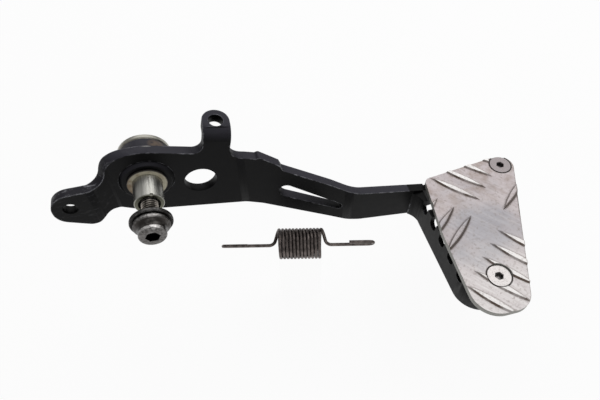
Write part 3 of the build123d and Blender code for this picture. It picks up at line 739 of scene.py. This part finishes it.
plated, tree, skin, space = finish_of("bright_zinc_on_screws")
depth = add(tree, "SeparateXYZ", {0: space["Object"]}, "Y")
rear = add(
    tree, "MapRange",
    {"Value": depth, "From Min": SCREW_FRONT_Y_MM * MM, "From Max": SCREW_REAR_Y_MM * MM},
)
grain = add(
    tree, "TexNoise", {"Vector": space["Object"], "Scale": 1 / (SCREW_SPECK_MM * MM), "Detail": 5.0}
)
specks = add(tree, "MapRange", {"Value": grain, "From Min": 0.54, "From Max": 0.72, "To Max": 0.5})
# Painted shade darkens the socket and the ring round the head.
openness = add(tree, "AmbientOcclusion", {"Distance": SCREW_SOCKET_MM * MM}, "AO", samples=8)
hollow_shade = add(tree, "MapRange", {"Value": openness, "From Min": 0.86, "From Max": 0.58})
colour = linear(SCREW_FRONT)
for share, tint in ((rear, SCREW_REAR), (specks, ALU_SPECK), (hollow_shade, SCREW_HOLLOW_SHADE)):
    colour = add(tree, "Mix", {FACTOR: share, UNDER: colour, OVER: linear(tint)}, data_type="RGBA")
dull = add(tree, "MapRange", {"Value": grain, "To Min": 0.32, "To Max": 0.48})
skin.inputs["Metallic"].default_value = SCREW_METALLIC
tree.links.new(colour, skin.inputs["Base Color"])
tree.links.new(dull, skin.inputs["Roughness"])
dress("pad_screws", plated, ease_mm=0.2)

# Return spring
# A close-wound tension spring of dark spring steel with a long hook at each end. It is
# off the pedal and lies beside it.
WIRE_RADIUS_MM = 0.92
WIRE_SIDES = 12
WIRE_CREASE_DEG = 50
COIL_RADIUS_MM = 7.575
COIL_PITCH_MM = 1.91
COIL_TURNS = 12
COIL_STEPS = 36
SPRING_MIDDLE_MM = Vector((70.2, -24.9, -46.5))
SPRING_HEADING = radians(-13.5)
COIL_END_TURN = radians(52.4)
LEAD_OUT_MM = 4.545
ARM_DROP_MM = 0.9
ARM_START_MM = 2.944
HOOK_WIDTH_MM = 6.5
HOOK_RETURN_MM = 13.3
LEFT_REACH_MM = 30.2
RIGHT_REACH_MM = 28.1
LEFT_HOOK_TURN = radians(84)
RIGHT_HOOK_TURN = radians(74)
WIRE_BENDS_MM = (2.4, 3.6, 2.78, 2.78)
BEND_STEPS = 8

spring_axis = Vector((cos(SPRING_HEADING), sin(SPRING_HEADING), 0))
coil_out = Vector((
    -sin(SPRING_HEADING) * sin(COIL_END_TURN),
    cos(SPRING_HEADING) * sin(COIL_END_TURN),
    cos(COIL_END_TURN),
))
coil_across = spring_axis.cross(coil_out)
coil_length_mm = COIL_PITCH_MM * COIL_TURNS
coil_start = SPRING_MIDDLE_MM - spring_axis * coil_length_mm / 2


def on_coil(x_mm, y_mm, z_mm):
    """A point given along the coil's start radius, across it and along its axis."""
    return (coil_start + coil_out * x_mm + coil_across * y_mm + spring_axis * z_mm) * MM


def hook(end_mm, out, reach_mm, hook_turn):
    """The wire's path from one end of the coil to the tip of its hook, its corners bent round."""
    arm_end = end_mm + out * reach_mm
    side_x = HOOK_WIDTH_MM * cos(hook_turn) - ARM_DROP_MM
    side_y = HOOK_WIDTH_MM * sin(hook_turn)
    corners = [
        on_coil(COIL_RADIUS_MM, 0, end_mm),
        on_coil(COIL_RADIUS_MM, out * LEAD_OUT_MM, end_mm + out * COIL_PITCH_MM / 4),
        on_coil(-ARM_DROP_MM, 0, end_mm + out * ARM_START_MM),
        on_coil(-ARM_DROP_MM, 0, arm_end),
        on_coil(side_x, side_y, arm_end),
        on_coil(side_x, side_y, arm_end - out * HOOK_RETURN_MM),
    ]
    path = [corners[0]]
    for before, corner_shade, after, bend_mm in zip(corners, corners[1:], corners[2:], WIRE_BENDS_MM):
        bend = bend_mm * MM
        back = (before - corner_shade).normalized()
        ahead = (after - corner_shade).normalized()
        half = back.angle(ahead) / 2
        centre = corner_shade + (back + ahead).normalized() * bend / sin(half)
        first = (corner_shade + back * bend / tan(half) - centre).normalized()
        last = (corner_shade + ahead * bend / tan(half) - centre).normalized()
        for step in range(BEND_STEPS + 1):
            path.append(centre + first.slerp(last, step / BEND_STEPS) * bend)
    return path + [corners[-1]]


def wire_rings(path):
    """Round sections of the wire along its path, carried on without twist."""
    rings = []
    radius_m = WIRE_RADIUS_MM * MM
    angles = [tau * step / WIRE_SIDES for step in range(WIRE_SIDES)]
    side = (path[1] - path[0]).orthogonal()
    for place, point in enumerate(path):
        ahead = (path[min(place + 1, len(path) - 1)] - path[max(place - 1, 0)]).normalized()
        side = (side - ahead * side.dot(ahead)).normalized()
        over = ahead.cross(side)
        rings.append([point + (side * cos(a) + over * sin(a)) * radius_m for a in angles])
    return rings


coil_path = []
for step in range(COIL_TURNS * COIL_STEPS + 1):
    turn = tau * step / COIL_STEPS
    coil_path.append(on_coil(
        COIL_RADIUS_MM * cos(turn), COIL_RADIUS_MM * sin(turn), COIL_PITCH_MM * step / COIL_STEPS
    ))
left_path = hook(0, -1, LEFT_REACH_MM, LEFT_HOOK_TURN)
right_path = hook(coil_length_mm, 1, RIGHT_REACH_MM, RIGHT_HOOK_TURN)
spring_path = left_path[:0:-1] + coil_path + right_path[1:]
spring = skinned("round_wire_return_spring", wire_rings(spring_path), WIRE_CREASE_DEG)

# Oiled spring steel: dark grey with a brown cast, oily highlights on the turns and painted shade
# between them.
SPRING_DARK = "#494341"
SPRING_LIGHT = "#7d7470"
SPRING_GAP_SHADE = "#1d1916"
SPRING_METALLIC = 0.9
OIL_PATCH_MM = 2.5
GAP_SHADE_MM = 0.8

wire, tree, skin, space = finish_of("oiled_spring_steel")
blotch = add(
    tree, "TexNoise", {"Vector": space["Object"], "Scale": 1 / (OIL_PATCH_MM * MM), "Detail": 5.0}
)
worn = add(tree, "MapRange", {"Value": blotch, "From Min": 0.35, "From Max": 0.7})
# Painted shade darkens the gaps between the turns.
openness = add(
    tree, "AmbientOcclusion", {"Distance": GAP_SHADE_MM * MM}, "AO", samples=8, only_local=True
)
gap_shade = add(tree, "MapRange", {"Value": openness, "From Min": 0.75, "From Max": 0.35})
colour = linear(SPRING_DARK)
for share, tint in ((worn, SPRING_LIGHT), (gap_shade, SPRING_GAP_SHADE)):
    colour = add(tree, "Mix", {FACTOR: share, UNDER: colour, OVER: linear(tint)}, data_type="RGBA")
dull = add(tree, "MapRange", {"Value": blotch, "To Min": 0.34, "To Max": 0.5})
skin.inputs["Metallic"].default_value = SPRING_METALLIC
tree.links.new(colour, skin.inputs["Base Color"])
tree.links.new(dull, skin.inputs["Roughness"])
spring.data.materials.append(wire)
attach(spring, "pivot")
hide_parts("return_spring")

# Table, light and camera
# A white table, low enough for the pressed pedal to clear, with a small white block that the
# spring's coil lies on. Soft light from above and behind, and the photograph's viewing angle.
TABLE_Z_MM = -97.0
TABLE_HALF_M = 3.0
BLOCK_MM = (24.0, 8.0)
BLOCK_TOP_Z_MM = -55.05
BLOCK_SUNK_MM = 4.0
BLOCK_EDGE_MM = 0.8

bm = bmesh.new()
bmesh.ops.create_grid(bm, x_segments=1, y_segments=1, size=TABLE_HALF_M)
bmesh.ops.translate(bm, verts=bm.verts, vec=(0, 0, TABLE_Z_MM * MM))
table = piece_of("white_table", bm)
block_height_mm = BLOCK_TOP_Z_MM - TABLE_Z_MM + BLOCK_SUNK_MM
block_middle_mm = SPRING_MIDDLE_MM.copy()
block_middle_mm.z = BLOCK_TOP_Z_MM - block_height_mm / 2
bm = bmesh.new()
bmesh.ops.create_cube(bm, size=MM)
bmesh.ops.scale(bm, verts=bm.verts, vec=(*BLOCK_MM, block_height_mm))
bmesh.ops.bevel(
    bm, geom=bm.edges, offset=BLOCK_EDGE_MM * MM, segments=2, profile=0.5, affect="EDGES"
)
bmesh.ops.rotate(bm, verts=bm.verts, matrix=Matrix.Rotation(SPRING_HEADING, 3, "Z"))
bmesh.ops.translate(bm, verts=bm.verts, vec=block_middle_mm * MM)
block = piece_of("white_block", bm)

# White paper: matt, and seen by the camera and in the metal as nearly pure white.
PAPER_WHITE = "#f4f4f4"
PAPER_ROUGHNESS = 0.9
PAPER_GLOW = 0.92

white, tree, skin, _ = finish_of("white_paper")
skin.inputs["Base Color"].default_value = linear(PAPER_WHITE)
skin.inputs["Roughness"].default_value = PAPER_ROUGHNESS
seen = add(tree, "LightPath").node.outputs
plain_view = seen["Is Camera Ray"]
for other_ray in ("Is Glossy Ray", "Is Transmission Ray"):
    plain_view = add(tree, "Math", {0: plain_view, 1: seen[other_ray]}, operation="MAXIMUM")
share = add(tree, "Math", {0: plain_view, 1: PAPER_GLOW}, operation="MULTIPLY")
glow = add(tree, "Emission", {"Color": (1, 1, 1, 1), "Strength": 1.0})
blend = add(tree, "MixShader", {0: share, 1: skin.outputs["BSDF"], 2: glow})
tree.links.new(blend, tree.nodes["Material Output"].inputs["Surface"])
for stand in (table, block):
    stand.data.materials.append(white)

SKY_STRENGTH = 0.42
world = bpy.data.worlds.new("studio")
bpy.context.scene.world = world
world.use_nodes = True
sky = world.node_tree.nodes["Background"]
sky.inputs["Color"].default_value = (1, 1, 1, 1)
sky.inputs["Strength"].default_value = SKY_STRENGTH


def softbox(name, place_m, aim_m, size_m, watts):
    """A soft rectangular light that looks at a point."""
    lamp = bpy.data.lights.new(name, "AREA")
    lamp.shape = "RECTANGLE"
    lamp.size, lamp.size_y = size_m
    lamp.energy = watts
    light = bpy.data.objects.new(name, lamp)
    light.location = place_m
    light.rotation_euler = (Vector(aim_m) - Vector(place_m)).to_track_quat("-Z", "Y").to_euler()
    bpy.context.scene.collection.objects.link(light)


softbox(
    "overhead", place_m=(0.50, 0.62, 0.85), aim_m=(0.08, -0.03, -0.03), size_m=(2.2, 1.0), watts=9.0
)
softbox(
    "front", place_m=(0.12, -0.60, 0.42), aim_m=(0.0, -0.03, 0.0), size_m=(0.4, 0.3), watts=0.5
)

CAMERA_AT_M = (0.03128, -0.17304, 0.19121)
CAMERA_RIGHT = (0.9674, -0.2531, 0.0)
CAMERA_UP = (0.2004, 0.7662, 0.6106)
CAMERA_BACK = (-0.1545, -0.5907, 0.7920)
CAMERA_LENS_MM, CAMERA_SENSOR_MM = 30.84, 36.0
CAMERA_NEAR_M = 0.005
camera_data = bpy.data.cameras.new("photo_view")
camera_data.lens = CAMERA_LENS_MM
camera_data.sensor_width = CAMERA_SENSOR_MM
camera_data.clip_start = CAMERA_NEAR_M
camera = bpy.data.objects.new("photo_view", camera_data)
camera_axes = Matrix((CAMERA_RIGHT, CAMERA_UP, CAMERA_BACK)).transposed()
camera.matrix_world = Matrix.Translation(CAMERA_AT_M) @ camera_axes.to_4x4()
bpy.context.scene.collection.objects.link(camera)
bpy.context.scene.camera = camera
bpy.context.scene.view_settings.view_transform = "Standard"
